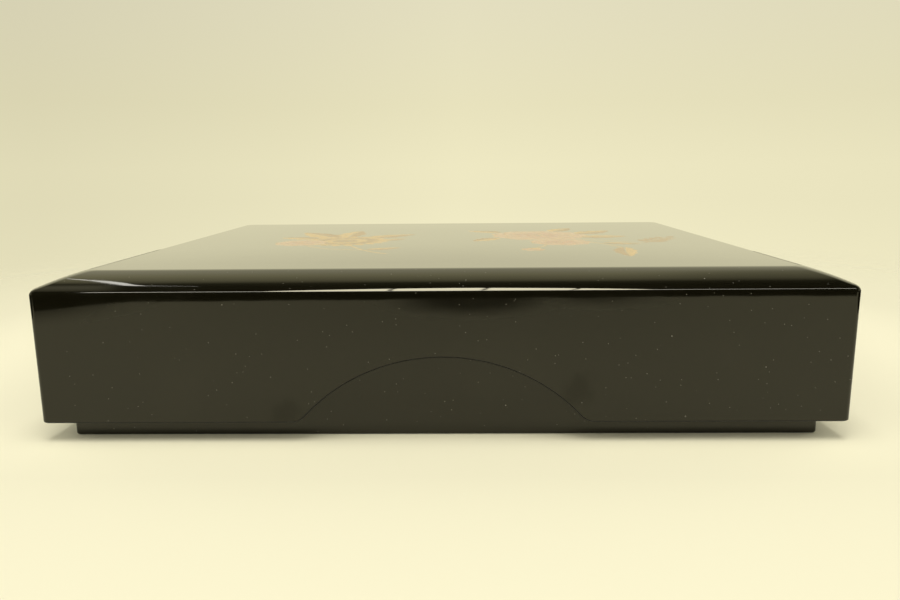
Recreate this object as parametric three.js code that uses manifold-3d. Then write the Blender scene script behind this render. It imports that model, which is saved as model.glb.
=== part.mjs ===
// A lacquered document box: an open wooden body and a deep lid that drops over it.
//
// Both pieces are hollow, with walls of true thickness. The lid's wall rounds over at an arris
// into a swelling shoulder, which breaks into a broad, barely crowned field. Each long side of its
// skirt has an arched finger notch, so that the body can be held while the lid is lifted away.
//
// Units are millimetres and +Z is up. The front looks along -Y, the long side lies along X, and
// the origin is on the ground under the middle of the box.

import * as THREE from "three";
import { mergeVertices } from "three/addons/utils/BufferGeometryUtils.js";
import Module from "manifold-3d";

// Lid, outside
const LID_WIDTH = 330;
const LID_DEPTH = 268;
const LID_LOWER_EDGE = 8.3; // the skirt ends this far above the ground
const ARRIS_HEIGHT = 63.3; // where the plain wall and the shoulder would meet unrounded
const ARRIS_ROUNDING = 3;
const SHOULDER_WIDTH = 16; // the shoulder's reach in from the wall, seen from above
const SHOULDER_OUTER_SLOPE = 28; // degrees, at the arris
const SHOULDER_INNER_SLOPE = 14; // degrees, where it breaks into the field
const CROWN_RISE = 0.6; // the field's swell, from the shoulder to the middle
const LID_CORNER_RADIUS = 2.5;
const HIP_SOFTENING = 0.15; // a contour's corner radius grows this much per millimetre of inset

// Lid, inside
const LID_WALL = 7;
const LID_CEILING = 61;
const LID_CAVITY_RADIUS = 1.5;

// Finger notches
const NOTCH_RADIUS = 76.5;
const NOTCH_APEX = 35.5; // height of the arch's crown above the ground
const NOTCH_FILLET = 8; // rounds the skirt where the arch runs out into its lower edge

// Body
const LID_PLAY = 1.7; // between the skirt and the body, all round
const RIM_GAP = 0.3; // between the rim and the lid's ceiling that it carries
const BODY_WALL = 6;
const BODY_FLOOR = 6;
const BODY_CORNER_RADIUS = 2;
const BODY_CAVITY_RADIUS = 3;

// Facets
const CORNER_STEPS = 6;
const ARRIS_STEPS = 5;
const SHOULDER_STEPS = 7;
const FIELD_STEPS = 4;
const NOTCH_STEPS = 20;
const FIELD_REACH = 0.8; // the last contour's inset, as a share of half the depth
const OVERCUT = 5; // how far a cutter runs past the face that it opens

const LACQUER = { color: 0x0d0c0a, roughness: 0.12, metalness: 0 };

const halfWidth = LID_WIDTH / 2;
const halfDepth = LID_DEPTH / 2;

const wasm = await Module();
wasm.setup();

// Turns a closed geometry into a solid for cutting.
function solidFrom(geometry) {
  const bare = geometry.clone();
  bare.deleteAttribute("normal");
  bare.deleteAttribute("uv");
  const merged = mergeVertices(bare);
  return new wasm.Manifold(
    new wasm.Mesh({
      numProp: 3,
      vertProperties: merged.attributes.position.array,
      triVerts: new Uint32Array(merged.index.array),
    }),
  );
}

// Turns a cut solid back into a geometry.
function geometryFrom(solid) {
  const { vertProperties, triVerts } = solid.getMesh();
  const geometry = new THREE.BufferGeometry();
  geometry.setAttribute("position", new THREE.BufferAttribute(vertProperties, 3));
  geometry.setIndex(new THREE.BufferAttribute(triVerts, 1));
  geometry.computeVertexNormals();
  return geometry;
}

// A rectangle with round corners, centred on the origin.
function roundedRectangle(halfX, halfY, radius) {
  const shape = new THREE.Shape();
  const quarter = Math.PI / 2;
  const corners = [[1, 1], [-1, 1], [-1, -1], [1, -1]];
  corners.forEach(([sideX, sideY], i) => {
    const x = sideX * (halfX - radius);
    const y = sideY * (halfY - radius);
    shape.absarc(x, y, radius, i * quarter, (i + 1) * quarter, false);
  });
  return shape;
}

// An upright block with that plan, from one height to another.
function block(halfX, halfY, radius, bottom, top) {
  const plan = roundedRectangle(halfX, halfY, radius);
  const options = { depth: top - bottom, bevelEnabled: false, curveSegments: CORNER_STEPS };
  return new THREE.ExtrudeGeometry(plan, options).translate(0, 0, bottom);
}

// The lid's height at a distance in from its wall. The shoulder's slope eases evenly from the
// arris to the break, and the field beyond is a shallow parabola.
function lidHeight(inset) {
  const outer = Math.tan(THREE.MathUtils.degToRad(SHOULDER_OUTER_SLOPE));
  const inner = Math.tan(THREE.MathUtils.degToRad(SHOULDER_INNER_SLOPE));
  const run = Math.min(inset, SHOULDER_WIDTH);
  const shoulder = outer * run + ((inner - outer) * run ** 2) / (2 * SHOULDER_WIDTH);
  const fromMiddle = Math.min((halfDepth - inset) / (halfDepth - SHOULDER_WIDTH), 1);
  return ARRIS_HEIGHT + shoulder + CROWN_RISE * (1 - fromMiddle ** 2);
}

// One contour of the lid, as points: the plan drawn in by an inset, with softer corners inwards.
function contour(inset, height) {
  const radius = LID_CORNER_RADIUS + HIP_SOFTENING * inset;
  const plan = roundedRectangle(halfWidth - inset, halfDepth - inset, radius);
  const { shape } = plan.extractPoints(CORNER_STEPS);
  return shape.map(({ x, y }) => new THREE.Vector3(x, y, height));
}

// A closed skin over stacked contours of equal length, flat at the bottom and the top.
function loft(contours) {
  const count = contours[0].length;
  const index = [];
  for (let level = 0; level + 1 < contours.length; level++) {
    for (let i = 0; i < count; i++) {
      const a = level * count + i;
      const b = level * count + ((i + 1) % count);
      index.push(a, b, b + count, a, b + count, a + count);
    }
  }
  const top = (contours.length - 1) * count;
  for (let i = 1; i + 1 < count; i++) {
    index.push(0, i + 1, i);
    index.push(top, top + i, top + i + 1);
  }
  const geometry = new THREE.BufferGeometry().setFromPoints(contours.flat());
  geometry.setIndex(index);
  return geometry;
}

// The rounded arris, from the plain wall over to the foot of the shoulder.
function arrisContours() {
  const slope = THREE.MathUtils.degToRad(SHOULDER_OUTER_SLOPE);
  const centre = ARRIS_HEIGHT + ARRIS_ROUNDING * (Math.tan(slope) - 1 / Math.cos(slope));
  const contours = [];
  for (let step = 0; step <= ARRIS_STEPS; step++) {
    const turn = ((Math.PI / 2 - slope) * step) / ARRIS_STEPS;
    const inset = ARRIS_ROUNDING * (1 - Math.cos(turn));
    contours.push(contour(inset, centre + ARRIS_ROUNDING * Math.sin(turn)));
  }
  return contours;
}

// The lid's outside: skirt, arris, shoulder and crowned field.
function lidOutside() {
  const contours = [contour(0, LID_LOWER_EDGE), ...arrisContours()];
  const arrisEnd = ARRIS_ROUNDING * (1 - Math.sin(THREE.MathUtils.degToRad(SHOULDER_OUTER_SLOPE)));
  const shoulderReach = SHOULDER_WIDTH - arrisEnd;
  for (let step = 1; step <= SHOULDER_STEPS; step++) {
    const inset = arrisEnd + (shoulderReach * step) / SHOULDER_STEPS;
    contours.push(contour(inset, lidHeight(inset)));
  }
  const fieldWidth = FIELD_REACH * halfDepth - SHOULDER_WIDTH;
  for (let step = 1; step <= FIELD_STEPS; step++) {
    const inset = SHOULDER_WIDTH + (fieldWidth * step) / FIELD_STEPS;
    contours.push(contour(inset, lidHeight(inset)));
  }
  return loft(contours);
}

// The notch's outline, seen from the front: a low arch with fillets at its feet.
function notchShape() {
  const archCentre = NOTCH_APEX - NOTCH_RADIUS;
  const filletCentre = LID_LOWER_EDGE + NOTCH_FILLET;
  const drop = filletCentre - archCentre;
  const reach = Math.sqrt((NOTCH_RADIUS + NOTCH_FILLET) ** 2 - drop ** 2);
  const spring = Math.atan2(drop, reach); // where arch and fillet touch, seen from the arch's centre

  const shape = new THREE.Shape();
  shape.moveTo(reach, LID_LOWER_EDGE - OVERCUT);
  shape.absarc(reach, filletCentre, NOTCH_FILLET, -Math.PI / 2, spring - Math.PI, true);
  shape.absarc(0, archCentre, NOTCH_RADIUS, spring, Math.PI - spring, false);
  shape.absarc(-reach, filletCentre, NOTCH_FILLET, -spring, -Math.PI / 2, true);
  shape.lineTo(-reach, LID_LOWER_EDGE - OVERCUT);
  return shape;
}

// One cutter for both notches, straight through the lid from back to front.
function notchCutter() {
  const depth = LID_DEPTH + 2 * OVERCUT;
  const options = { depth, bevelEnabled: false, curveSegments: NOTCH_STEPS };
  const cutter = new THREE.ExtrudeGeometry(notchShape(), options);
  return cutter.rotateX(Math.PI / 2).translate(0, depth / 2, 0);
}

function lidGeometry() {
  const cavity = block(
    halfWidth - LID_WALL,
    halfDepth - LID_WALL,
    LID_CAVITY_RADIUS,
    LID_LOWER_EDGE - OVERCUT,
    LID_CEILING,
  );
  const shell = solidFrom(lidOutside()).subtract(solidFrom(cavity));
  return geometryFrom(shell.subtract(solidFrom(notchCutter())));
}

function bodyGeometry() {
  const outerX = halfWidth - LID_WALL - LID_PLAY;
  const outerY = halfDepth - LID_WALL - LID_PLAY;
  const rim = LID_CEILING - RIM_GAP;
  const outside = block(outerX, outerY, BODY_CORNER_RADIUS, 0, rim);
  const cavity = block(
    outerX - BODY_WALL,
    outerY - BODY_WALL,
    BODY_CAVITY_RADIUS,
    BODY_FLOOR,
    rim + OVERCUT,
  );
  return geometryFrom(solidFrom(outside).subtract(solidFrom(cavity)));
}

function piece(name, geometry) {
  const mesh = new THREE.Mesh(geometry, new THREE.MeshStandardMaterial(LACQUER));
  mesh.name = name;
  return mesh;
}

const documentBox = new THREE.Group();
documentBox.add(piece("box_body", bodyGeometry()));
documentBox.add(piece("lid", lidGeometry()));

export default documentBox;
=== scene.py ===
"""The looks of a black lacquered document box with sprays of flowers on its lid.

Shapes are worked out in millimetres and become meshes in metres. The two pieces are swept from
rings of points that run all round the box. The lid's painted flowers are flush with the lacquer:
they are faces of the lid's own top, cut along each petal's outline.
"""

import math
import random
from collections import namedtuple

import bpy
from mathutils import Matrix, Vector
from mathutils.geometry import delaunay_2d_cdt


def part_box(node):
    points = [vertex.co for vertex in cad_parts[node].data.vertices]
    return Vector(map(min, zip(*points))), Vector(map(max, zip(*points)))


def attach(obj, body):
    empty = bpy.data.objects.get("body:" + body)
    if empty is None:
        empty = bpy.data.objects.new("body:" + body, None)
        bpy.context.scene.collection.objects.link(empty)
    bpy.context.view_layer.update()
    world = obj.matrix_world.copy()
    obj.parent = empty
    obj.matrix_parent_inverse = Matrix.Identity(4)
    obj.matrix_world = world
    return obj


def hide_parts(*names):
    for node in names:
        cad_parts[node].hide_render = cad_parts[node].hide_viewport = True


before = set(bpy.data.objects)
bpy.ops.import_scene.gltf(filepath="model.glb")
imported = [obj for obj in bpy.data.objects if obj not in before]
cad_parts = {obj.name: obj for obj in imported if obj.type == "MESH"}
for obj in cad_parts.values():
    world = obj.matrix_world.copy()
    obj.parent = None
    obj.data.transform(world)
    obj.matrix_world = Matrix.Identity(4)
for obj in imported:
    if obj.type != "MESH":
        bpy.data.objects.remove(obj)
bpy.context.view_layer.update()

MM = 0.001
BODY = "root"

# Sizes from the frame, in millimetres
lid_low, lid_high = (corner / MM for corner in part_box("lid"))
body_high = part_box("box_body")[1] / MM
LID_HALF_X = lid_high.x
LID_HALF_Y = lid_high.y
LID_LOWER_EDGE = lid_low.z
BODY_HALF_X = body_high.x
BODY_HALF_Y = body_high.y
BODY_RIM = body_high.z

# Lid, in millimetres and degrees
ARRIS_HEIGHT = 63.3
ARRIS_ROUNDING = 3
SHOULDER_WIDTH = 16
SHOULDER_OUTER_SLOPE = 28
SHOULDER_INNER_SLOPE = 14
OUTER_TANGENT = math.tan(math.radians(SHOULDER_OUTER_SLOPE))
INNER_TANGENT = math.tan(math.radians(SHOULDER_INNER_SLOPE))
BREAK_WIDTH = 3.0  # the shoulder eases into the field over this width
CROWN_RISE = 0.6
LID_CORNER_RADIUS = 2.5
HIP_SOFTENING = 0.15
LID_WALL = 7
RIM_GAP = 0.3  # between the body's rim and the lid's ceiling
LID_CEILING = BODY_RIM + RIM_GAP
LID_CAVITY_RADIUS = 1.5
CEILING_FILLET = 1.2
SKIRT_ROUNDING = 0.7  # the lower edge, inside
SKIRT_BEVEL = 0.55  # the lower edge, outside
BEVEL_EASE = 0.08

# Finger notches
NOTCH_RADIUS = 76.5
NOTCH_APEX = 35.5
NOTCH_FILLET = 8
ARCH_CENTRE = NOTCH_APEX - NOTCH_RADIUS
FILLET_HEIGHT = LID_LOWER_EDGE + NOTCH_FILLET
FILLET_X = math.sqrt((NOTCH_RADIUS + NOTCH_FILLET) ** 2 - (FILLET_HEIGHT - ARCH_CENTRE) ** 2)
NOTCH_SPRING = math.atan2(FILLET_HEIGHT - ARCH_CENTRE, FILLET_X)

# Body
BODY_WALL = 6
BODY_FLOOR = 6
BODY_CORNER_RADIUS = 2
BODY_CAVITY_RADIUS = 3
BODY_FOOT_ROUNDING = 1.0
BODY_RIM_ROUNDING = 0.8
BODY_FLOOR_FILLET = 2.2

# Fineness of the meshes
CORNER_STEPS = 12
ARC_STEPS = 10
FILLET_STEPS = 8
ARCH_STEPS = 56
SIDE_STEPS = 12
SHOULDER_STEPS = 12
STRAIGHT_X = 134  # every ring is straight at least this far to either side of its middle
STRAIGHT_Y = 104
FIELD_GRID = 9

# Camera, fitted to the box's edges
CAMERA_PLACE = (0.007983, -0.413362, 0.111227)
CAMERA_LENS = 28.82
CAMERA_SENSOR = 36
CAMERA_NEAR = 0.01
CAMERA_YAW = -0.924
CAMERA_PITCH = 10.559
CAMERA_ROLL = -0.469

# Order of the finishes in a piece's material slots
LACQUER, SATIN, DULL, GOLD, BRONZE, SALMON, VERMILION = range(7)


# Rings: contours that run round the box, with the surface's direction along each

# A ring lies at an inset from the wall. If it follows the notch, its height is measured from the
# skirt's lower edge.
Ring = namedtuple("Ring", "inset corner height out up finish follows_notch", defaults=[False])


def spread(start, end, steps):
    return [start + (end - start) * step / steps for step in range(steps + 1)]


QUARTER_TURN = spread(0, math.pi / 2, ARC_STEPS // 2)


def shoulder_tangent(inset):
    return OUTER_TANGENT + (INNER_TANGENT - OUTER_TANGENT) * inset / SHOULDER_WIDTH


def shoulder_height(inset):
    return ARRIS_HEIGHT + (OUTER_TANGENT + shoulder_tangent(inset)) / 2 * inset


def lid_corner(inset):
    """Corner radius of the lid's outside, which softens up the hips."""
    return LID_CORNER_RADIUS + HIP_SOFTENING * inset


def skirt_corner(inset):
    """Corner radius through the skirt's thickness."""
    return LID_CORNER_RADIUS + (LID_CAVITY_RADIUS - LID_CORNER_RADIUS) * inset / LID_WALL


def lid_inside_rings():
    rings = []
    for angle in QUARTER_TURN:
        inset = LID_WALL + CEILING_FILLET * (1 - math.sin(angle))
        height = LID_CEILING - CEILING_FILLET * (1 - math.cos(angle))
        corner = LID_CAVITY_RADIUS - (inset - LID_WALL)
        rings.append(Ring(inset, corner, height, -math.sin(angle), -math.cos(angle), SATIN))
    return rings


def skirt_edge_rings():
    """The skirt's lower edge, rounded inside and bevelled outside."""
    rings = []
    for angle in QUARTER_TURN:
        inset = LID_WALL - SKIRT_ROUNDING * (1 - math.cos(angle))
        above = SKIRT_ROUNDING * (1 - math.sin(angle))
        out, up = -math.cos(angle), -math.sin(angle)
        rings.append(Ring(inset, skirt_corner(inset), above, out, up, LACQUER, True))
    # the dull bevel reflects little and shows as a thin dark line along the lower edge
    bevel = [
        (SKIRT_BEVEL + BEVEL_EASE, 0, 0, -1, DULL),
        (SKIRT_BEVEL - BEVEL_EASE, BEVEL_EASE, 1, -1, DULL),
        (BEVEL_EASE, SKIRT_BEVEL - BEVEL_EASE, 1, -1, DULL),
        (0, SKIRT_BEVEL + BEVEL_EASE, 1, 0, LACQUER),
    ]
    for inset, above, out, up, finish in bevel:
        rings.append(Ring(inset, skirt_corner(inset), above, out, up, finish, True))
    return rings


def arris_rings():
    """The rounded edge between the plain wall and the shoulder."""
    slope = math.radians(SHOULDER_OUTER_SLOPE)
    centre = ARRIS_HEIGHT + ARRIS_ROUNDING * (math.tan(slope) - 1 / math.cos(slope))
    rings = []
    for step in range(ARC_STEPS + 1):
        angle = (math.pi / 2 - slope) * step / ARC_STEPS
        inset = ARRIS_ROUNDING * (1 - math.cos(angle))
        height = centre + ARRIS_ROUNDING * math.sin(angle)
        out, up = math.cos(angle), math.sin(angle)
        rings.append(Ring(inset, lid_corner(inset), height, out, up, LACQUER))
    return rings


def slope_ring(inset, height, tangent):
    steep = math.hypot(1, tangent)
    return Ring(inset, lid_corner(inset), height, tangent / steep, 1 / steep, LACQUER)


def shoulder_rings():
    """From the arris up to the break, which is eased over a few millimetres."""
    start = ARRIS_ROUNDING * (1 - math.sin(math.radians(SHOULDER_OUTER_SLOPE)))
    end = SHOULDER_WIDTH - BREAK_WIDTH / 2
    rings = []
    for step in range(1, SHOULDER_STEPS + 1):
        inset = start + (end - start) * step / SHOULDER_STEPS
        rings.append(slope_ring(inset, shoulder_height(inset), shoulder_tangent(inset)))
    steepest = shoulder_tangent(end)
    for step in range(1, ARC_STEPS + 1):
        share = step / ARC_STEPS
        height = shoulder_height(end) + steepest * BREAK_WIDTH * (share - share ** 2 / 2)
        rings.append(slope_ring(end + BREAK_WIDTH * share, height, steepest * (1 - share)))
    return rings


def body_rings():
    """The body from its underside up the wall, over the rim and down inside to its floor."""
    rings = []
    foot, rim, floor = BODY_FOOT_ROUNDING, BODY_RIM_ROUNDING, BODY_FLOOR_FILLET
    inner_corner = BODY_CAVITY_RADIUS
    for angle in QUARTER_TURN:
        inset = foot * (1 - math.sin(angle))
        height = foot * (1 - math.cos(angle))
        corner = BODY_CORNER_RADIUS - inset
        finish = LACQUER if rings else SATIN
        out, up = math.sin(angle), -math.cos(angle)
        rings.append(Ring(inset, corner, height, out, up, finish))
    for angle in QUARTER_TURN:
        inset = rim * (1 - math.cos(angle))
        height = BODY_RIM - rim * (1 - math.sin(angle))
        out, up = math.cos(angle), math.sin(angle)
        rings.append(Ring(inset, BODY_CORNER_RADIUS, height, out, up, LACQUER))
    for angle in QUARTER_TURN:
        inset = BODY_WALL - rim * (1 - math.sin(angle))
        height = BODY_RIM - rim * (1 - math.cos(angle))
        out, up = -math.sin(angle), math.cos(angle)
        rings.append(Ring(inset, inner_corner, height, out, up, SATIN))
    for angle in QUARTER_TURN:
        inset = BODY_WALL + floor * (1 - math.cos(angle))
        height = BODY_FLOOR + floor * (1 - math.sin(angle))
        corner = inner_corner - (inset - BODY_WALL)
        out, up = -math.cos(angle), math.sin(angle)
        rings.append(Ring(inset, corner, height, out, up, SATIN))
    return rings


# Stations: the places along a ring, the same for every ring of both pieces

Station = namedtuple("Station", "side_x side_y along angle")


def long_side_places():
    """Places along a long side: close together over the notch and its fillets."""
    fillets = [FILLET_X - NOTCH_FILLET * math.sin(turn)
               for turn in spread(0, math.pi / 2 - NOTCH_SPRING, FILLET_STEPS)]
    arch = [NOTCH_RADIUS * math.cos(turn)
            for turn in spread(NOTCH_SPRING, math.pi / 2, ARCH_STEPS // 2)]
    half = spread(STRAIGHT_X, FILLET_X, SIDE_STEPS)[:-1] + fillets[:-1] + arch
    return [-place for place in half] + half[-2::-1]


def stations():
    """Once round the box, anticlockwise from above, from the left end of the front."""
    along_x = long_side_places()
    along_y = spread(-STRAIGHT_Y, STRAIGHT_Y, 2 * SIDE_STEPS)
    sides = [
        [Station(0, -1, place, None) for place in along_x],
        [Station(1, 0, place, None) for place in along_y],
        [Station(0, 1, -place, None) for place in along_x],
        [Station(-1, 0, -place, None) for place in along_y],
    ]
    corners = [(1, -1), (1, 1), (-1, 1), (-1, -1)]
    route = []
    for turn, (side, (sign_x, sign_y)) in enumerate(zip(sides, corners)):
        route += side
        for step in range(CORNER_STEPS + 1):
            angle = math.pi / 2 * (turn - 1 + step / CORNER_STEPS)
            route.append(Station(sign_x, sign_y, None, angle))
    return route


def place_on_plan(station, half_x, half_y, inset, corner):
    """A station's point on a contour, and the direction straight out from the box there."""
    if station.angle is not None:
        out = Vector((math.cos(station.angle), math.sin(station.angle)))
        centre_x = station.side_x * (half_x - inset - corner)
        centre_y = station.side_y * (half_y - inset - corner)
        return Vector((centre_x, centre_y)) + corner * out, out
    if station.side_x:
        point = Vector((station.side_x * (half_x - inset), station.along))
    else:
        point = Vector((station.along, station.side_y * (half_y - inset)))
    return point, Vector((station.side_x, station.side_y))


def skirt_edge(station):
    """The lower edge's height at a station, and the direction from it into the skirt."""
    on_long_side = station.angle is None and station.side_x == 0
    if not on_long_side or abs(station.along) >= FILLET_X:
        return LID_LOWER_EDGE, Vector((0, 0, 1))
    across = station.along
    if abs(across) <= NOTCH_RADIUS * math.cos(NOTCH_SPRING):
        rise = math.sqrt(NOTCH_RADIUS ** 2 - across ** 2)
        return ARCH_CENTRE + rise, Vector((across, 0, rise)) / NOTCH_RADIUS
    sideways = math.copysign(FILLET_X, across) - across
    drop = math.sqrt(NOTCH_FILLET ** 2 - sideways ** 2)
    return FILLET_HEIGHT - drop, Vector((sideways, 0, drop)) / NOTCH_FILLET


class Skin:
    """A mesh in the making: points, their directions, and faces with a finish each."""

    def __init__(self):
        self.points = []
        self.directions = []
        self.faces = []
        self.finishes = []
        self.shades = []

    def add_point(self, point, direction):
        self.points.append(Vector(point) * MM)
        self.directions.append(Vector(direction).normalized())
        return len(self.points) - 1

    def add_face(self, corners, finish, shades=None):
        self.faces.append(corners)
        self.finishes.append(finish)
        self.shades += shades or [0.0] * len(corners)

    def add_ring(self, contour, half_x, half_y, route):
        """Adds one contour's points. Where a hip stretches the slope, it leans back less."""
        indices = []
        for station in route:
            plan, out = place_on_plan(station, half_x, half_y, contour.inset, contour.corner)
            point = Vector((plan.x, plan.y, contour.height))
            upward = Vector((0, 0, 1))
            stretch = (1 + HIP_SOFTENING) * (abs(out.x) + abs(out.y)) - HIP_SOFTENING
            if contour.follows_notch:
                edge, upward = skirt_edge(station)
                point = Vector((plan.x, plan.y, edge)) + contour.height * upward
            direction = contour.out * out.to_3d() + contour.up * stretch * upward
            indices.append(self.add_point(point, direction))
        return indices

    def add_band(self, lower, upper, finish):
        for i, corner in enumerate(lower):
            j = (i + 1) % len(lower)
            self.add_face([corner, lower[j], upper[j], upper[i]], finish)

    def sweep(self, contours, half_x, half_y, route):
        """Skins a list of contours in turn, and returns the first and last ones' points."""
        bands = [self.add_ring(contour, half_x, half_y, route) for contour in contours]
        for contour, lower, upper in zip(contours, bands, bands[1:]):
            self.add_band(lower, upper, contour.finish)
        return bands[0], bands[-1]

    def to_object(self, name, materials):
        mesh = bpy.data.meshes.new(name)
        mesh.from_pydata(self.points, [], self.faces)
        for material in materials:
            mesh.materials.append(material)
        mesh.polygons.foreach_set("material_index", self.finishes)
        mesh.polygons.foreach_set("use_smooth", [True] * len(self.faces))
        mesh.attributes.new("shade", "FLOAT", "CORNER").data.foreach_set("value", self.shades)
        mesh.normals_split_custom_set_from_vertices(self.directions)
        mesh.validate()
        obj = bpy.data.objects.new(name, mesh)
        bpy.context.scene.collection.objects.link(obj)
        return obj


# Painted flowers: outlines in millimetres on the lid's top, X to the right and Y to the back

Shape = namedtuple("Shape", "outline finish centre reach")
Layer = namedtuple("Layer", "reach inner count width turn fill")  # lengths as shares of the bloom
FULL_BLOOM = (
    Layer(1.0, 0.16, 9, 0.72, 0, SALMON),
    Layer(0.74, 0.1, 8, 0.58, 22, SALMON),
    Layer(0.5, 0.06, 7, 0.42, 8, VERMILION),
    Layer(0.28, 0.02, 5, 0.24, 30, VERMILION),
)
RAYED_BLOOM = (
    Layer(1.0, 0.3, 22, 0.24, 0, GOLD),
    Layer(0.76, 0.2, 18, 0.22, 8, BRONZE),
    Layer(0.52, 0.12, 14, 0.19, 3, GOLD),
    Layer(0.3, 0.04, 9, 0.16, 11, BRONZE),
)
RAYED_GAP = 0.3  # lacquer left bare round each petal of a rayed bloom
POLLEN_GRAINS = 9

# Petals and leaves are widest further out the larger their fullness
FULL_PETAL_FULLNESS = 1.7
RAYED_PETAL_FULLNESS = 1.8
LEAF_FULLNESS = 0.8
BUD_FULLNESS = 1.3
BLADE_BLUNTNESS = 0.8  # the smaller, the blunter their ends
LOBE_DEPTH = 0.24  # as a share of a lobed leaf's width
LEAF_LOBES = 4
LEAF_STEPS = 20
LEAF_VEINS = (0.22, 0.4, 0.58)  # where the side veins start, as shares of the leaf's length
LEAF_VEIN_END = 0.94
VEIN_WIDTH = 0.35
VEIN_STEPS = 4
PETAL_VEINS = ((-9, 0.62), (0, 0.74), (9, 0.62))  # lean in degrees, and reach as a share
BUD_PETALS = ((-22, 0.86), (22, 0.86), (0, 1.0))  # lean in degrees, and length as a share
BUD_SEPALS = (-38, 0, 38)
SPRIG_LEAN = 42  # degrees between a sprig's leaf and its stem
STEM_TAPER = 0.6  # a stem's width at its tip, as a share of that at its start

GRAIN_SEED = 7
GRAIN_SIZES = (0.14, 0.34)
GRAIN_LIMIT_X = 144  # grains further out than these two would miss the lid's field
GRAIN_LIMIT_Y = 112


def heading(degrees):
    return Vector((math.cos(math.radians(degrees)), math.sin(math.radians(degrees))))


def left_of(ahead):
    return Vector((-ahead.y, ahead.x))


def bent_line(base, direction, length, bend, share):
    """A point on a line that starts straight and bends sideways more and more."""
    ahead = heading(direction)
    return base + ahead * length * share + left_of(ahead) * bend * length * share ** 2


def blade(base, direction, length, width, fullness, bend=0.0, steps=9, lobes=0, sides=(1, -1)):
    """A petal or leaf outline from its base along a bent line, with lobes if asked."""
    aside = left_of(heading(direction))

    def edge(share, side):
        half = width / 2 * math.sin(math.pi * share ** fullness) ** BLADE_BLUNTNESS
        if lobes:
            half *= (1 - LOBE_DEPTH) + LOBE_DEPTH * abs(math.sin(math.pi * lobes * share))
        return bent_line(base, direction, length, bend, share) + aside * side * half

    shares = spread(0, 1, steps)
    there = [edge(share, sides[0]) for share in shares]
    back = [edge(share, sides[1]) for share in reversed(shares[1:-1])]
    return there + back


def ribbon(start, bend, end, width, tip, steps=14):
    """A stem outline along a curve from start to end, pulled towards bend, tapering to its tip."""
    left, right = [], []
    for step in range(steps + 1):
        share = step / steps
        point = start.lerp(bend, share).lerp(bend.lerp(end, share), share)
        ahead = (bend - start).lerp(end - bend, share).normalized()
        aside = left_of(ahead) * (width + (tip - width) * share) / 2
        left.append(point + aside)
        right.append(point - aside)
    return left + right[::-1]


def disc(centre, radius, steps=10):
    return [centre + radius * heading(360 * step / steps) for step in range(steps)]


def petal_ring(centre, bloom, layer, turn, fullness, rim, rim_width):
    """One layer of a bloom's petals, each a rim with a smaller filling on it."""
    reach, inner, width = (share * bloom for share in (layer.reach, layer.inner, layer.width))
    length = reach - inner
    shapes = []
    for number in range(layer.count):
        direction = turn + layer.turn + 360 * number / layer.count
        base = centre + inner * heading(direction)
        outer = blade(base, direction, length, width, fullness)
        start = base + rim_width * heading(direction)
        filling = blade(start, direction, length - 2 * rim_width, width - 2 * rim_width, fullness)
        shapes.append(Shape(outer, rim, centre, reach))
        shapes.append(Shape(filling, layer.fill, centre, reach))
    return shapes


def vein(start, end, tip):
    return ribbon(start, start.lerp(end, 0.5), end, VEIN_WIDTH, tip, VEIN_STEPS)


def petal_veins(centre, bloom, layer, turn):
    """Three fine lines fanning out from the middle of each petal in a layer."""
    reach = layer.reach * bloom
    shapes = []
    for number in range(layer.count):
        direction = turn + layer.turn + 360 * number / layer.count
        base = centre + 0.5 * reach * heading(direction)
        for lean, share in PETAL_VEINS:
            end = centre + share * reach * heading(direction + lean)
            shapes.append(Shape(vein(base, end, 0.12), VERMILION, centre, reach))
    return shapes


def full_bloom(centre, radius, turn):
    """A broad bloom of salmon petals round a vermilion heart, rimmed and pollened with gold."""
    rim = 0.012 * radius + 0.15
    shapes = []
    for layer in FULL_BLOOM:
        shapes += petal_ring(centre, radius, layer, turn, FULL_PETAL_FULLNESS, GOLD, rim)
        if layer.fill == SALMON:
            shapes += petal_veins(centre, radius, layer, turn)
    for number in range(POLLEN_GRAINS):
        grain = centre + 0.1 * radius * heading(turn + 360 * number / POLLEN_GRAINS)
        shapes.append(Shape(disc(grain, 0.022 * radius, 8), GOLD, centre, radius))
    return shapes


def rayed_bloom(centre, radius, turn):
    """A many-petalled bloom in gold, with the lacquer showing between its petals."""
    shapes = []
    for layer in RAYED_BLOOM:
        shapes += petal_ring(centre, radius, layer, turn, RAYED_PETAL_FULLNESS, LACQUER, RAYED_GAP)
    shapes.append(Shape(disc(centre, 0.08 * radius), BRONZE, centre, radius))
    return shapes


def leaf(base, direction, length, width, bend):
    """A lobed leaf, gold on one side of its middle vein and bronze on the other."""
    shapes = []
    for finish, sides in ((GOLD, (1, 0)), (BRONZE, (0, -1))):
        half = blade(
            base, direction, length, width, LEAF_FULLNESS, bend, LEAF_STEPS, LEAF_LOBES, sides,
        )
        shapes.append(Shape(half, finish, base, length))
    ahead = heading(direction)
    aside = left_of(ahead)
    middle = base + ahead * length * (LEAF_VEIN_END / 2)
    tip = bent_line(base, direction, length, bend, LEAF_VEIN_END)
    shapes.append(Shape(ribbon(base, middle, tip, 0.7, 0.2), LACQUER, base, length))
    for share in LEAF_VEINS:
        root = bent_line(base, direction, length, bend, share)
        reach = 0.3 * width * math.sin(math.pi * share ** LEAF_FULLNESS)
        for side in (1, -1):
            end = root + (ahead + side * aside) * reach
            shapes.append(Shape(vein(root, end, 0.15), LACQUER, base, length))
    return shapes


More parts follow.
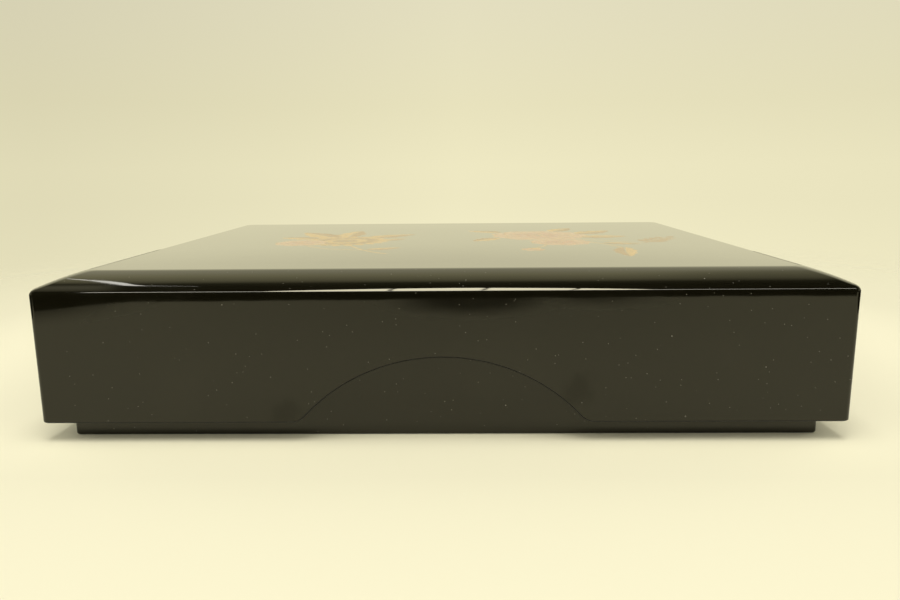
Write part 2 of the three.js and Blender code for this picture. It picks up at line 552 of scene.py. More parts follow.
def bud(base, direction, length, fill):
    """Three closed petals in a small gold cup."""
    width = 0.5 * length
    shapes = []
    for lean, share in BUD_PETALS:
        outer = blade(base, direction + lean, length * share, width, BUD_FULLNESS)
        inner = blade(base, direction + lean, length * share - 0.7, width - 0.8, BUD_FULLNESS)
        shapes.append(Shape(outer, GOLD, base, length))
        shapes.append(Shape(inner, fill, base, length))
    for lean in BUD_SEPALS:
        sepal = blade(base, direction + lean, 0.42 * length, 0.2 * length, 1.0)
        shapes.append(Shape(sepal, GOLD, base, length))
    return shapes


def sprig(base, direction, length, bend, leaves):
    """A curved stem with small plain leaves in pairs and one at its tip."""
    middle = base + heading(direction) * length * 0.5
    end = bent_line(base, direction, length, bend, 1)
    shapes = [Shape(ribbon(base, middle, end, 0.9, 0.4), BRONZE, base, length)]
    for number in range(1, leaves + 1):
        share = number / (leaves + 1)
        root = base.lerp(middle, share).lerp(middle.lerp(end, share), share)
        lean = direction + math.degrees(2 * bend * share)
        size = length * (0.36 - 0.12 * share)
        for side in (SPRIG_LEAN, -SPRIG_LEAN):
            small_leaf = blade(root, lean + side, size, 0.42 * size, 1.0)
            shapes.append(Shape(small_leaf, BRONZE, base, length))
    tip = blade(end, direction + math.degrees(2 * bend), 0.24 * length, 0.1 * length, 1.0)
    return shapes + [Shape(tip, BRONZE, base, length)]


def sprinkle(centre, spread_x, spread_y, count, generator):
    """Grains of gold scattered round a spray, thinning outwards."""
    grains = []
    for _ in range(count):
        place = Vector((generator.gauss(centre.x, spread_x), generator.gauss(centre.y, spread_y)))
        size = generator.uniform(*GRAIN_SIZES)
        if abs(place.x) < GRAIN_LIMIT_X and abs(place.y) < GRAIN_LIMIT_Y:
            grains.append(Shape(disc(place, size, 6), GOLD, place, size))
    return grains


def spot(x, y):
    return Vector((x, y))


def stem(start, bend, end, width):
    outline = ribbon(start, bend, end, width, STEM_TAPER * width)
    return Shape(outline, GOLD, start, (end - start).length)


def left_spray():
    """A gold bloom among leaves, with a salmon bloom low on its left."""
    shapes = [
        stem(spot(-28, -70), spot(-46, -56), spot(-57, -12), 1.4),
        stem(spot(-42, -54), spot(-66, -52), spot(-80, -22), 1.1),
    ]
    shapes += leaf(spot(-66, 6), 116, 46, 19, 0.12)
    shapes += leaf(spot(-58, 12), 96, 40, 17, -0.15)
    shapes += leaf(spot(-46, 4), 52, 34, 17, -0.2)
    shapes += leaf(spot(-40, -8), 12, 18, 11, 0.25)
    shapes += leaf(spot(-74, 2), 146, 26, 14, 0.2)
    shapes += leaf(spot(-40, -52), 8, 18, 9, 0.25)
    shapes += rayed_bloom(spot(-57, -10), 26, 4)
    shapes += full_bloom(spot(-80, -18), 15, 15)
    return shapes


def right_spray():
    """A large salmon bloom with a smaller one below, leaves behind, and a bud and a leaf trailing."""
    shapes = [
        stem(spot(58, -6), spot(84, -20), spot(90, -52), 1.6),
        stem(spot(66, -4), spot(90, -14), spot(106, -28), 1.4),
        stem(spot(60, -10), spot(56, -34), spot(46, -50), 1.2),
    ]
    shapes += leaf(spot(76, 26), 28, 32, 17, 0.2)
    shapes += leaf(spot(76, 8), -12, 28, 17, 0.25)
    shapes += leaf(spot(32, 34), 132, 24, 13, 0.2)
    shapes += leaf(spot(66, 40), 74, 28, 14, -0.2)
    shapes += leaf(spot(30, 0), 215, 22, 12, 0.2)
    shapes += leaf(spot(84, -26), -32, 20, 10, 0.2)
    shapes += full_bloom(spot(54, 16), 29, 0)
    shapes += full_bloom(spot(62, -22), 17, 40)
    shapes += leaf(spot(91, -48), 256, 36, 12, 0.1)
    shapes += bud(spot(46, -50), 250, 13, SALMON)
    shapes += sprig(spot(106, -28), 62, 36, -0.1, 4)
    return shapes


def flowers():
    generator = random.Random(GRAIN_SEED)
    shapes = sprinkle(spot(-58, 4), 28, 34, 280, generator)
    shapes += sprinkle(spot(66, 0), 30, 34, 300, generator)
    return shapes + left_spray() + right_spray()


# The lid's top

CUT_INSIDE = 1  # the cutter's own number for triangles that keep inside the rim
CUT_TOLERANCE = 1e-4


def field_surface(x, y, half_x, half_y, edge):
    """The field's height and direction at a place."""
    swell_x = 1 - (x / half_x) ** 2
    swell_y = 1 - (y / half_y) ** 2
    lean_x = 2 * CROWN_RISE * x / half_x ** 2 * swell_y
    lean_y = 2 * CROWN_RISE * y / half_y ** 2 * swell_x
    return edge + CROWN_RISE * swell_x * swell_y, Vector((lean_x, lean_y, 1))


def grid_places(half_x, half_y):
    """A grid over the field, kept off its edge, so that its swell has points to bend at."""
    count_x = int(half_x // FIELD_GRID)
    count_y = int(half_y // FIELD_GRID)
    places = []
    for i in range(1 - count_x, count_x):
        for j in range(1 - count_y, count_y):
            places.append(Vector((i * FIELD_GRID, j * FIELD_GRID)))
    return places


def anticlockwise(outline):
    area = sum(a.cross(b) for a, b in zip(outline, outline[1:] + outline[:1]))
    return outline if area > 0 else outline[::-1]


def add_field(skin, edge_points, shapes):
    """Fills the lid's top, cut along every painted outline. Later shapes lie on earlier ones."""
    rim = [skin.points[i].to_2d() / MM for i in edge_points]
    half_x = max(point.x for point in rim)
    half_y = max(point.y for point in rim)
    edge = skin.points[edge_points[0]].z / MM

    places = rim + grid_places(half_x, half_y)
    areas = [list(range(len(rim)))]
    for shape in shapes:
        first = len(places)
        places += anticlockwise(shape.outline)
        areas.append(list(range(first, len(places))))
    cut = delaunay_2d_cdt(places, [], areas, CUT_INSIDE, CUT_TOLERANCE)
    points, _, triangles, sources, _, owners = cut

    indices = []
    for point, origins in zip(points, sources):
        on_rim = [origin for origin in origins if origin < len(rim)]
        if on_rim:
            indices.append(edge_points[on_rim[0]])
            continue
        height, direction = field_surface(point.x, point.y, half_x, half_y, edge)
        indices.append(skin.add_point((point.x, point.y, height), direction))

    for triangle, owner in zip(triangles, owners):
        corners = [indices[i] for i in triangle]
        top = max(owner)
        if top == 0:
            skin.add_face(corners, LACQUER)
            continue
        shape = shapes[top - 1]
        shades = [(points[i] - shape.centre).length / shape.reach for i in triangle]
        skin.add_face(corners, shape.finish, shades)


# Materials

POLISHED_BLACK = (0.0045, 0.004, 0.0018, 1)
SMUDGED_BLACK = (0.0065, 0.0058, 0.003, 1)
EDGE_BLACK = (0.003, 0.0028, 0.002, 1)
PALER_EDGE_BLACK = (0.006, 0.005, 0.004, 1)
SATIN_BLACK = (0.008, 0.007, 0.006, 1)
CLOUDED_BLACK = (0.017, 0.014, 0.011, 1)
OUTER_DUST = (0.2, 0.19, 0.15, 1)
INNER_DUST = (0.16, 0.15, 0.12, 1)
GOLD_DUST = (0.55, 0.37, 0.13, 1)
LACQUER_TINT = (1.0, 0.98, 0.88, 1)
POWDER_METAL = 0.4  # how metallic a full cover of powder is
GRAIN_SOFTNESS = 0.12


def add_node(tree, kind, settings=None, **inputs):
    node = tree.nodes.new(kind)
    for name, value in (settings or {}).items():
        setattr(node, name, value)
    set_inputs(tree, node, **inputs)
    return node


def set_inputs(tree, node, **inputs):
    """Sets a node's inputs, each to a plain value or to the socket that feeds it."""
    for name, value in inputs.items():
        feed(tree, node.inputs[name.replace("_", " ")], value)


def feed(tree, socket, value):
    if isinstance(value, bpy.types.NodeSocket):
        tree.links.new(value, socket)
    else:
        socket.default_value = value


def arithmetic(tree, operation, first, second=0.0):
    node = tree.nodes.new("ShaderNodeMath")
    node.operation = operation
    feed(tree, node.inputs[0], first)
    feed(tree, node.inputs[1], second)
    return node.outputs["Value"]


def remap(tree, value, from_low, from_high, to_low, to_high):
    node = add_node(
        tree, "ShaderNodeMapRange", {"interpolation_type": "SMOOTHSTEP"}, Value=value,
        From_Min=from_low, From_Max=from_high, To_Min=to_low, To_Max=to_high,
    )
    return node.outputs["Result"]


def blend(tree, share, first, second):
    node = add_node(tree, "ShaderNodeMixRGB", Fac=share, Color1=first, Color2=second)
    return node.outputs["Color"]


def tint(tree, first, second):
    """Two colours multiplied."""
    multiply = {"blend_type": "MULTIPLY"}
    node = add_node(tree, "ShaderNodeMixRGB", multiply, Fac=1.0, Color1=first, Color2=second)
    return node.outputs["Color"]


def noise(tree, place, scale, detail):
    node = add_node(tree, "ShaderNodeTexNoise", Vector=place, Scale=scale, Detail=detail)
    return node.outputs["Fac"]


def shade(colour, brightness):
    return tuple(brightness * part for part in colour) + (1,)


def ramp(tree, value, stops):
    """A colour scale: each stop has a position, a colour and a brightness."""
    node = add_node(tree, "ShaderNodeValToRGB", Fac=value)
    elements = node.color_ramp.elements
    while len(elements) < len(stops):
        elements.new(1.0)
    for element, (position, colour, brightness) in zip(elements, stops):
        element.position = position
        element.color = shade(colour, brightness)
    return node.outputs["Color"]


def new_material(name):
    """A material with its node tree, shader and the place on the object that its patterns use."""
    material = bpy.data.materials.new(name)
    material.use_nodes = True
    tree = material.node_tree
    shader = tree.nodes["Principled BSDF"]
    place = add_node(tree, "ShaderNodeTexCoord").outputs["Object"]
    return material, tree, shader, place


def specks(tree, place, cell, size, share):
    """A mask of small scattered dots: about one to a cell, in some of the cells."""
    cells = add_node(tree, "ShaderNodeTexVoronoi", Vector=place, Scale=1 / cell)
    dot = remap(tree, cells.outputs["Distance"], 0.6 * size / cell, size / cell, 1, 0)
    chosen = add_node(tree, "ShaderNodeSeparateColor", Color=cells.outputs["Color"]).outputs["Red"]
    return arithmetic(tree, "MULTIPLY", dot, arithmetic(tree, "LESS_THAN", chosen, share))


# Two patches on the skirt's front where the lacquer reflects less, in millimetres
DIM_PATCHES = ((-64, -134, 12), (55, -134, 22))
DIM_PATCH_CORE = 6
DIM_PATCH_SIZE = 17
DIM_PATCH_WANDER = 12  # how far a mark's edge strays


def dim_patches_mask(tree, place):
    """A mask of the two dim patches beside the front notch, with ragged edges."""
    wander = noise(tree, place, scale=160.0, detail=4.0)
    ragged = arithmetic(tree, "MULTIPLY", wander, DIM_PATCH_WANDER * MM)
    masks = []
    for mark in DIM_PATCHES:
        middle = tuple(part * MM for part in mark)
        away = add_node(tree, "ShaderNodeVectorMath", {"operation": "DISTANCE"}, Vector=place)
        away.inputs[1].default_value = middle
        distance = arithmetic(tree, "ADD", away.outputs["Value"], ragged)
        masks.append(remap(tree, distance, DIM_PATCH_CORE * MM, DIM_PATCH_SIZE * MM, 1, 0))
    return arithmetic(tree, "MAXIMUM", *masks)


def lacquer_material():
    """Polished black lacquer: faintly uneven, with dust, smudges and two patches where it reflects
    less.
    """
    material, tree, shader, place = new_material("polished_black_lacquer")
    smudge = remap(tree, noise(tree, place, scale=22.0, detail=3.0), 0.5, 0.75, 0, 1)
    fine_dust = specks(tree, place, cell=0.0028, size=0.00018, share=0.7)
    motes = specks(tree, place, cell=0.008, size=0.0003, share=0.5)
    dusty = arithmetic(tree, "MAXIMUM", fine_dust, motes)
    black = blend(tree, smudge, POLISHED_BLACK, SMUDGED_BLACK)
    gloss = remap(tree, smudge, 0, 1, 0.03, 0.08)
    dull = arithmetic(tree, "MULTIPLY", dusty, 0.8)
    waves = noise(tree, place, scale=30.0, detail=2.0)
    swell = add_node(tree, "ShaderNodeBump", Strength=0.05, Distance=0.0005, Height=waves)
    set_inputs(
        tree, shader,
        Base_Color=blend(tree, dusty, black, OUTER_DUST),
        Roughness=arithmetic(tree, "MAXIMUM", gloss, dull),
        # the two patches reflect less, which darkens them
        Specular_IOR_Level=remap(tree, dim_patches_mask(tree, place), 0, 1, 0.5, 0.41),
        Specular_Tint=LACQUER_TINT,
        Normal=swell.outputs["Normal"],
    )
    return material


def dull_material():
    """The lid's lower edge: a rough black that reflects little, so that it shows as a thin dark line.
    """
    material, tree, shader, place = new_material("dull_black_edge")
    edge_mottle = noise(tree, place, scale=120.0, detail=4.0)
    base = blend(tree, edge_mottle, EDGE_BLACK, PALER_EDGE_BLACK)
    set_inputs(tree, shader, Base_Color=base, Roughness=0.5, Specular_IOR_Level=0.28)
    return material


def satin_material():
    """The plainer black of the inside and the underside."""
    material, tree, shader, place = new_material("satin_black_lacquer")
    cloudy = noise(tree, place, scale=14.0, detail=5.0)
    brushed = add_node(tree, "ShaderNodeMapping", Vector=place, Scale=(18, 240, 240))
    stroke = noise(tree, brushed.outputs["Vector"], scale=1.0, detail=5.0)
    dust = specks(tree, place, cell=0.011, size=0.0003, share=0.4)
    base = blend(tree, cloudy, SATIN_BLACK, CLOUDED_BLACK)
    bump = add_node(tree, "ShaderNodeBump", Strength=0.12, Distance=0.0001, Height=stroke)
    set_inputs(
        tree, shader,
        Base_Color=blend(tree, dust, base, INNER_DUST),
        Roughness=remap(tree, stroke, 0.3, 0.7, 0.28, 0.42),
        Normal=bump.outputs["Normal"],
    )
    return material


def powder_material(name, light, dark, ground, cover):
    """Metal powder sprinkled on lacquer: bright grains with the ground between them."""
    material, tree, shader, place = new_material(name)
    grains = noise(tree, place, scale=2600.0, detail=2.0)
    tone = blend(tree, noise(tree, place, scale=60.0, detail=4.0), light, dark)
    worn_through = remap(tree, noise(tree, place, scale=110.0, detail=6.0), 0.62, 0.72, 0, 0.7)
    dense = remap(tree, grains, cover - GRAIN_SOFTNESS, cover + GRAIN_SOFTNESS, 0, 1)
    left_over = arithmetic(tree, "SUBTRACT", dense, worn_through)
    covered = arithmetic(tree, "MAXIMUM", left_over, 0.0)
    bump = add_node(tree, "ShaderNodeBump", Strength=0.25, Distance=0.00006, Height=grains)
    set_inputs(
        tree, shader,
        Base_Color=blend(tree, covered, ground, tone),
        Metallic=arithmetic(tree, "MULTIPLY", covered, POWDER_METAL),
        Roughness=remap(tree, grains, 0.3, 0.7, 0.2, 0.32),
        Normal=bump.outputs["Normal"],
    )
    return material


def petal_material(name, stops):
    """Tinted lacquer that changes from a bloom's heart outwards, dusted with gold."""
    material, tree, shader, place = new_material(name)
    outward = add_node(tree, "ShaderNodeAttribute", {"attribute_name": "shade"}).outputs["Fac"]
    uneven = arithmetic(tree, "SUBTRACT", noise(tree, place, scale=90.0, detail=5.0), 0.5)
    drift = arithmetic(tree, "MULTIPLY", uneven, 0.35)
    hue = ramp(tree, arithmetic(tree, "ADD", outward, drift), stops)
    dust = remap(tree, noise(tree, place, scale=1900.0, detail=2.0), 0.6, 0.68, 0, 0.8)
    polish = noise(tree, place, scale=300.0, detail=3.0)
    set_inputs(
        tree, shader,
        Base_Color=blend(tree, dust, hue, GOLD_DUST),
        Metallic=arithmetic(tree, "MULTIPLY", dust, POWDER_METAL),
        Roughness=remap(tree, polish, 0.3, 0.7, 0.12, 0.2),
    )
    return material


def make_finishes():
    """Every finish, in the order of the slot numbers."""
    gold = powder_material(
        "gold_powder", light=(0.55, 0.35, 0.115, 1), dark=(0.43, 0.265, 0.08, 1),
        ground=(0.05, 0.03, 0.012, 1), cover=0.36,
    )
    bronze = powder_material(
        "bronze_powder", light=(0.38, 0.22, 0.075, 1), dark=(0.3, 0.165, 0.058, 1),
        ground=(0.03, 0.018, 0.008, 1), cover=0.4,
    )
    salmon = petal_material("salmon_lacquer", [
        (0.25, (0.19, 0.034, 0.011), 1), (0.65, (0.24, 0.07, 0.022), 1), (1.0, (0.28, 0.12, 0.04), 1),
    ])
    vermilion = petal_material("vermilion_lacquer", [
        (0.05, (0.14, 0.014, 0.006), 1), (0.5, (0.22, 0.038, 0.015), 1),
    ])
    blacks = [lacquer_material(), satin_material(), dull_material()]
    return blacks + [gold, bronze, salmon, vermilion]


# Pieces

def make_lid(route, finishes):
    skin = Skin()
    contours = lid_inside_rings() + skirt_edge_rings() + arris_rings() + shoulder_rings()
    ceiling, field_edge = skin.sweep(contours, LID_HALF_X, LID_HALF_Y, route)
    skin.add_face(ceiling[::-1], SATIN)
    add_field(skin, field_edge, flowers())
    lid = skin.to_object("lacquered_lid", finishes)
    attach(lid, BODY)
    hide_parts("lid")


def make_body(route, finishes):
    skin = Skin()
    underside, floor = skin.sweep(body_rings(), BODY_HALF_X, BODY_HALF_Y, route)
    skin.add_face(underside[::-1], SATIN)
    skin.add_face(floor, SATIN)
    body = skin.to_object("lacquered_body", finishes[:SATIN + 1])
    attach(body, BODY)
    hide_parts("box_body")


# Studio

WHITE = (1.0, 1.0, 1.0)
CREAM = (0.86, 0.81, 0.545)
AMBER = (0.86, 0.8, 0.47)  # the backdrop's upper part
GREY_CREAM = (0.77, 0.73, 0.525)
FLOOR_REACH = 0.75
FLOOR_SOLID = 0.25  # the floor is whole this far out, and has faded away at its reach
FLOOR_PALE_FRONT = -0.115  # it dims a little forwards and outwards, to even out the light on it
FLOOR_DIM_FRONT = -0.18
FLOOR_DIM_RADIUS = 0.4
FLOOR_PALE = (0.868, 0.826, 0.589, 1)
FLOOR_DIM = (0.768, 0.731, 0.523, 1)
FLOOR_MOTTLE = 0.15
DISC_STEP = 6  # degrees between the points of a round stage mesh


def stage_mesh(name, points, faces, material):
    mesh = bpy.data.meshes.new(name)
    mesh.from_pydata(points, [], faces)
    mesh.materials.append(material)
    obj = bpy.data.objects.new(name, mesh)
    bpy.context.scene.collection.objects.link(obj)
    return obj


def only_in_reflections(obj):
    obj.visible_camera = False
    obj.visible_diffuse = False
    obj.visible_transmission = False
    obj.visible_shadow = False


def stage_disc(name, radius, material):
    rim = [radius * heading(degrees).to_3d() for degrees in range(0, 360, DISC_STEP)]
    return stage_mesh(name, rim, [list(range(len(rim)))], material)


def strip_faces(count):
    """Faces between two lines of points, where the second line's come after the first's."""
    return [[i, i + 1, count + i + 1, count + i] for i in range(count - 1)]


def distance_from_middle(tree, place):
    node = add_node(tree, "ShaderNodeVectorMath", {"operation": "LENGTH"}, Vector=place)
    return node.outputs["Value"]


def fading_material(name, solid, reach, strength=1.0):
    """A matt material that fades out between two distances from the middle of its object."""
    material, tree, shader, place = new_material(name)
    alpha = remap(tree, distance_from_middle(tree, place), solid, reach, strength, 0)
    set_inputs(tree, shader, Roughness=0.9, Specular_IOR_Level=0.1, Alpha=alpha)
    return material, tree, shader, place


def make_floor():
    """A pale matt floor that fades out evenly, so that no edge or horizon shows."""
    material, tree, shader, place = fading_material("pale_floor", FLOOR_SOLID, FLOOR_REACH)
    depth = add_node(tree, "ShaderNodeSeparateXYZ", Vector=place).outputs["Y"]
    forwards = remap(tree, depth, FLOOR_DIM_FRONT, FLOOR_PALE_FRONT, 1, 0)
    distance = distance_from_middle(tree, place)
    outwards = remap(tree, distance, FLOOR_SOLID, FLOOR_DIM_RADIUS, 0, 1)
    mottled = arithmetic(tree, "MULTIPLY", noise(tree, place, scale=3.0, detail=2.0), FLOOR_MOTTLE)
    share = arithmetic(tree, "ADD", arithmetic(tree, "MAXIMUM", forwards, outwards), mottled)
    set_inputs(tree, shader, Base_Color=blend(tree, share, FLOOR_PALE, FLOOR_DIM))
    stage_disc("floor", FLOOR_REACH, material)


def emission_material(name, brightness, colour):
    material = bpy.data.materials.new(name)
    material.use_nodes = True
    tree = material.node_tree
    tree.nodes.remove(tree.nodes["Principled BSDF"])
    light = add_node(tree, "ShaderNodeEmission", Color=shade(colour, 1), Strength=brightness)
    tree.links.new(light.outputs["Emission"], tree.nodes["Material Output"].inputs["Surface"])
    return material


WARM_WHITE = (1.0, 0.94, 0.74)
COOL_WHITE = (1.0, 0.98, 0.92)
ARRIS_PLACE = Vector((0.0, -LID_HALF_Y, ARRIS_HEIGHT)) * MM
SOFTBOX_ANGLE = 117  # from the back horizon up over the box, in degrees
SOFTBOX_DISTANCE = 1.2
SOFTBOX_HALF_WIDTH = 0.43
SOFTBOX_HEIGHT = 0.98
SOFTBOX_DROP = 0.43  # its straight lower edge lies this far below its middle
SOFTBOX_BULGE = 1.6  # the larger, the fuller its curved upper edge
SOFTBOX_CENTRE = 0.003
SOFTBOX_SEAMS = (-0.142, 0.054, 0.245)
SOFTBOX_STEPS = 16  # along each panel
SOFTBOX_GLOW = 17
SEAM_WIDTH = 0.009
SEAM_LEAN = 0.015


def softbox_frame():
    """The softbox's middle, and its directions across and up."""
    angle = math.radians(SOFTBOX_ANGLE)
    away = Vector((0, math.cos(angle), math.sin(angle)))
    across = Vector((1, 0, 0))
    middle = ARRIS_PLACE + away * SOFTBOX_DISTANCE + across * SOFTBOX_CENTRE
    return middle, across, away.cross(across)


def make_softbox():
    """A bow-shaped softbox of four panels above and in front of the box, seen in reflections."""
    middle, across, upward = softbox_frame()
    edges = [-SOFTBOX_HALF_WIDTH] + list(SOFTBOX_SEAMS) + [SOFTBOX_HALF_WIDTH]
    points, faces = [], []
    for start, end in zip(edges, edges[1:]):
        top, bottom = [], []
        for sideways in spread(start + SEAM_WIDTH / 2, end - SEAM_WIDTH / 2, SOFTBOX_STEPS):
            rise = SOFTBOX_HEIGHT * (1 - abs(sideways / SOFTBOX_HALF_WIDTH) ** SOFTBOX_BULGE)
            for edge, height in ((top, rise - SOFTBOX_DROP), (bottom, -SOFTBOX_DROP)):
                edge.append(middle + across * (sideways + SEAM_LEAN * height) + upward * height)
        first = len(points)
        points += bottom + top[::-1]
        faces.append(list(range(first, len(points))))
    glow = emission_material("softbox_glow", SOFTBOX_GLOW, WARM_WHITE)
    only_in_reflections(stage_mesh("softbox", points, faces, glow))


TUBE_LEFT_REACH = 0.82
TUBE_RIGHT_REACH = 0.92
TUBE_LEFT_WIDTH = 0.05
TUBE_RIGHT_WIDTH = 0.03
TUBE_GLOW = 15


def make_tube():
    """A long thin lamp along the softbox's lower edge, for the fine line along the whole arris."""
    middle, across, upward = softbox_frame()
    middle -= upward * SOFTBOX_DROP
    left = middle - across * TUBE_LEFT_REACH
    right = middle + across * TUBE_RIGHT_REACH
    points = [
        left - upward * TUBE_LEFT_WIDTH,
        right - upward * TUBE_RIGHT_WIDTH,
        right + upward * TUBE_RIGHT_WIDTH,
        left + upward * TUBE_LEFT_WIDTH,
    ]
    glow = emission_material("tube_glow", TUBE_GLOW, COOL_WHITE)
    only_in_reflections(stage_mesh("tube", points, [[0, 1, 2, 3]], glow))


GLEAM_PLACE = Vector((-0.13, -0.128, 0.066))
GLEAM_DISTANCE = 1.2
GLEAM_GLOW = 6
Gleam = namedtuple("Gleam", "sideways angle half_width")
GLEAM_LINE = (
    Gleam(-0.57, 50.2, 0.005),
    Gleam(-0.53, 52.8, 0.008),
    Gleam(-0.495, 55.6, 0.03),
    Gleam(-0.47, 58.0, 0.034),
    Gleam(-0.45, 59.6, 0.012),
    Gleam(-0.43, 60.2, 0.002),
    Gleam(-0.34, 61.0, 0.0008),
)


def make_gleam():
    """A bright slit high behind the box on the left, for the streak along that shoulder."""
    lower, upper = [], []
    for sideways, angle, half_width in GLEAM_LINE:
        turn = math.radians(angle)
        away = Vector((sideways, math.cos(turn), math.sin(turn)))
        steeper = Vector((0, -math.sin(turn), math.cos(turn)))
        lower.append(GLEAM_PLACE + away * GLEAM_DISTANCE - steeper * half_width)
        upper.append(GLEAM_PLACE + away * GLEAM_DISTANCE + steeper * half_width)
    faces = strip_faces(len(GLEAM_LINE))
    glow = emission_material("gleam_glow", GLEAM_GLOW, COOL_WHITE)
    only_in_reflections(stage_mesh("gleam", lower + upper, faces, glow))


Flag = namedtuple("Flag", "name height line")
FLAGS = (
    Flag("front_flag", 0.075, (
        (-0.9, -0.33), (-0.331, -0.412), (-0.275, -0.45),
        (-0.1, -0.453), (0.14, -0.461), (0.9, -0.462),
    )),
    Flag("left_flag", 0.085, ((-0.45, -0.35), (-0.45, 0.65))),
    Flag("right_flag", 0.085, ((0.45, -0.35), (0.45, 0.65))),
)
FLAG_GLOW = 0.01


def make_flags():
    """Low dark screens in front of the box and beside it, seen in reflections alone."""
    dark = emission_material("flag_dark", FLAG_GLOW, CREAM)
    for name, height, line in FLAGS:
        lower = [Vector((x, y, 0)) for x, y in line]
        upper = [Vector((x, y, height)) for x, y in line]
        faces = strip_faces(len(line))
        only_in_reflections(stage_mesh(name, lower + upper, faces, dark))


SHADE_COLOUR = (0.02, 0.02, 0.015, 1)
Shade = namedtuple("Shade", "name place solid reach strength")
FRONT_SHADES = (
    Shade("camera_shade", Vector((0.015, -0.447, 0.001)), 0.024, 0.08, 0.88),
    Shade("camera_outer_shade", Vector((0.02, -0.445, 0.002)), 0.05, 0.3, 0.14),
    Shade("right_shade", Vector((0.12, -0.46, 0.003)), 0.0, 0.07, 0.8),
    Shade("left_shade", Vector((-0.34, -0.43, 0.001)), 0.0, 0.1, 0.8),
)


def make_front_shades():
    """Soft dark patches on the floor in front, painted shadows seen in reflections alone."""
    for name, place, solid, reach, strength in FRONT_SHADES:
        material, tree, shader, _ = fading_material(name, solid, reach, strength)
        set_inputs(tree, shader, Base_Color=SHADE_COLOUR)
        patch = stage_disc(name, reach, material)
        patch.location = place
        only_in_reflections(patch)


KEY_PLACE = Vector((0.0, -0.42, 1.5))
KEY_TARGET = Vector((0, 0.05, 0))
KEY_WIDTH = 0.7
KEY_LENGTH = 1.0
KEY_POWER = 13.4
KEY_COLOUR = (1.0, 0.985, 0.99)


def make_key_light():
    """Broad soft light from above and in front."""
    data = bpy.data.lights.new("key", "AREA")
    data.shape = "RECTANGLE"
    data.size = KEY_WIDTH
    data.size_y = KEY_LENGTH
    data.energy = KEY_POWER
    data.color = KEY_COLOUR
    key = bpy.data.objects.new("key", data)
    key.location = KEY_PLACE
    aim = KEY_TARGET - key.location
    key.rotation_euler = aim.to_track_quat("-Z", "Y").to_euler()
    key.visible_glossy = False
    bpy.context.scene.collection.objects.link(key)


def backdrop_seen(tree, parts):
    """What the camera sees all round: a pale backdrop, dimmer upwards and to the sides."""
    upward = ramp(tree, arithmetic(tree, "ADD", parts.outputs["Z"], 0.2), [
        (0.05, CREAM, 1.08), (0.085, CREAM, 1.04), (0.155, CREAM, 1.0),
        (0.2, CREAM, 1.0), (0.28, CREAM, 0.94), (0.42, GREY_CREAM, 1.0),
    ])
    sideways = ramp(tree, arithmetic(tree, "ADD", parts.outputs["X"], 0.5), [
        (0.0, WHITE, 0.87), (0.5, WHITE, 1.0), (1.0, WHITE, 0.955),
    ])
    return tint(tree, upward, sideways)


def room_mirrored(tree, parts):
    """What reflections see: the backdrop behind and beside the box, under a dark ceiling, a dim
    wall high on the left and a dark room in front."""
    across, ahead, up = (parts.outputs[axis] for axis in "XYZ")
    overhead = arithmetic(tree, "DIVIDE", arithmetic(tree, "ARCTAN2", up, ahead), math.pi)
    room = ramp(tree, overhead, [
        (0.0, CREAM, 1.08), (0.022, CREAM, 1.13), (0.036, CREAM, 1.27),
        (0.23, CREAM, 1.34), (0.267, AMBER, 1.2), (0.3, AMBER, 0.86),
        (0.313, AMBER, 0.5), (0.322, AMBER, 0.12), (0.34, AMBER, 0.03),
        (1.0, CREAM, 0.03),
    ])
    right = remap(tree, across, 0.12, 0.44, 0, 1)
    high = remap(tree, overhead, 0.2, 0.27, 0, 1)
    room = tint(tree, room, remap(tree, arithmetic(tree, "MULTIPLY", right, high), 0, 1, 1, 0.6))

    left = remap(tree, across, -0.46, -0.42, 1, 0)
    rising = remap(tree, overhead, 0.32, 0.34, 0, 1)
    ending = remap(tree, overhead, 0.62, 0.66, 1, 0)
    wall = arithmetic(tree, "MULTIPLY", left, arithmetic(tree, "MULTIPLY", rising, ending))
    room = blend(tree, wall, room, shade(CREAM, 0.55))

    beside = remap(tree, arithmetic(tree, "ABSOLUTE", across), 0.7, 0.92, 0, 1)
    side_walls = ramp(tree, up, [
        (0.05, CREAM, 0.95), (0.3, CREAM, 0.6), (0.6, CREAM, 0.03),
    ])
    return blend(tree, beside, room, side_walls)


FRONT_LIGHT = (0.7, 0.69, 0.65, 1)
BACK_LIGHT = (0.25, 0.245, 0.23, 1)
SIDE_LIGHT = (1.75, 1.73, 1.62, 1)


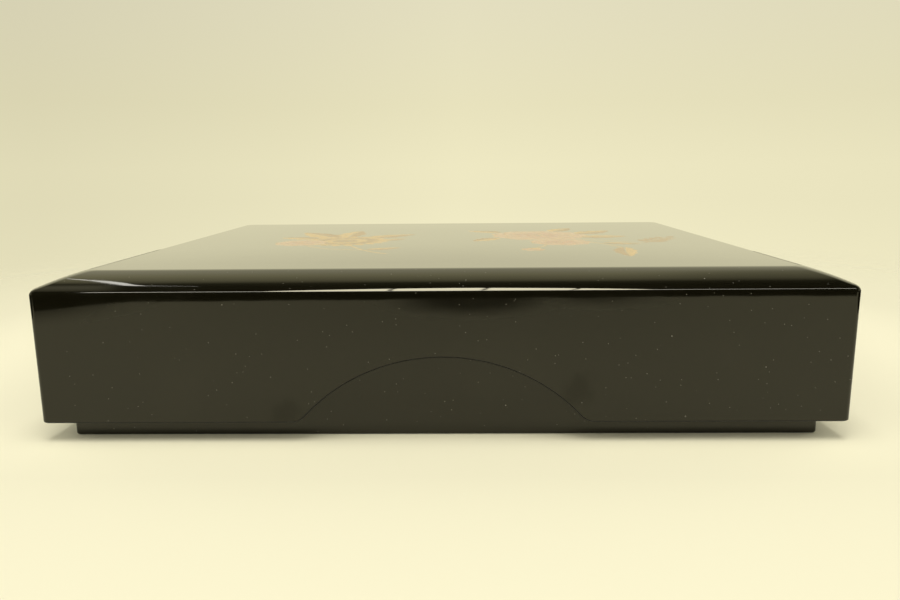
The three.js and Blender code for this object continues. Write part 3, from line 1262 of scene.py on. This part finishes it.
def make_world():
    """Camera, reflections and matt surfaces each get their own surroundings. Matt surfaces get
    soft light from all round, most of it from in front and from both sides."""
    world = bpy.data.worlds.new("studio")
    world.use_nodes = True
    world.cycles.sampling_method = "NONE"
    bpy.context.scene.world = world
    tree = world.node_tree
    direction = add_node(tree, "ShaderNodeTexCoord").outputs["Generated"]
    parts = add_node(tree, "ShaderNodeSeparateXYZ", Vector=direction)
    behind = remap(tree, parts.outputs["Y"], -0.7, 0.7, 0, 1)
    even = blend(tree, behind, FRONT_LIGHT, BACK_LIGHT)
    beside = remap(tree, arithmetic(tree, "ABSOLUTE", parts.outputs["X"]), 0.4, 0.9, 0, 1)
    even = blend(tree, beside, even, SIDE_LIGHT)

    rays = add_node(tree, "ShaderNodeLightPath")
    light = blend(tree, rays.outputs["Is Glossy Ray"], even, room_mirrored(tree, parts))
    light = blend(tree, rays.outputs["Is Camera Ray"], light, backdrop_seen(tree, parts))
    set_inputs(tree, tree.nodes["Background"], Color=light)


def make_camera():
    yaw, pitch, roll = (math.radians(turn) for turn in (CAMERA_YAW, CAMERA_PITCH, CAMERA_ROLL))
    level_ahead = math.cos(pitch) * Vector((math.sin(yaw), math.cos(yaw), 0))
    ahead = level_ahead - Vector((0, 0, math.sin(pitch)))
    level = Vector((math.cos(yaw), -math.sin(yaw), 0))
    upright = level.cross(ahead)
    right = math.cos(roll) * level + math.sin(roll) * upright
    top = math.cos(roll) * upright - math.sin(roll) * level
    data = bpy.data.cameras.new("camera")
    data.sensor_fit = "HORIZONTAL"
    data.sensor_width = CAMERA_SENSOR
    data.lens = CAMERA_LENS
    data.clip_start = CAMERA_NEAR
    camera = bpy.data.objects.new("camera", data)
    turn = Matrix((right, top, -ahead)).transposed().to_4x4()
    camera.matrix_world = Matrix.Translation(CAMERA_PLACE) @ turn
    bpy.context.scene.collection.objects.link(camera)
    bpy.context.scene.camera = camera


def make_studio():
    make_world()
    make_floor()
    make_flags()
    make_front_shades()
    make_softbox()
    make_tube()
    make_gleam()
    make_key_light()
    make_camera()
    bpy.context.scene.view_settings.view_transform = "Standard"


whole_route = stations()
all_finishes = make_finishes()
make_lid(whole_route, all_finishes)
make_body(whole_route, all_finishes)
make_studio()
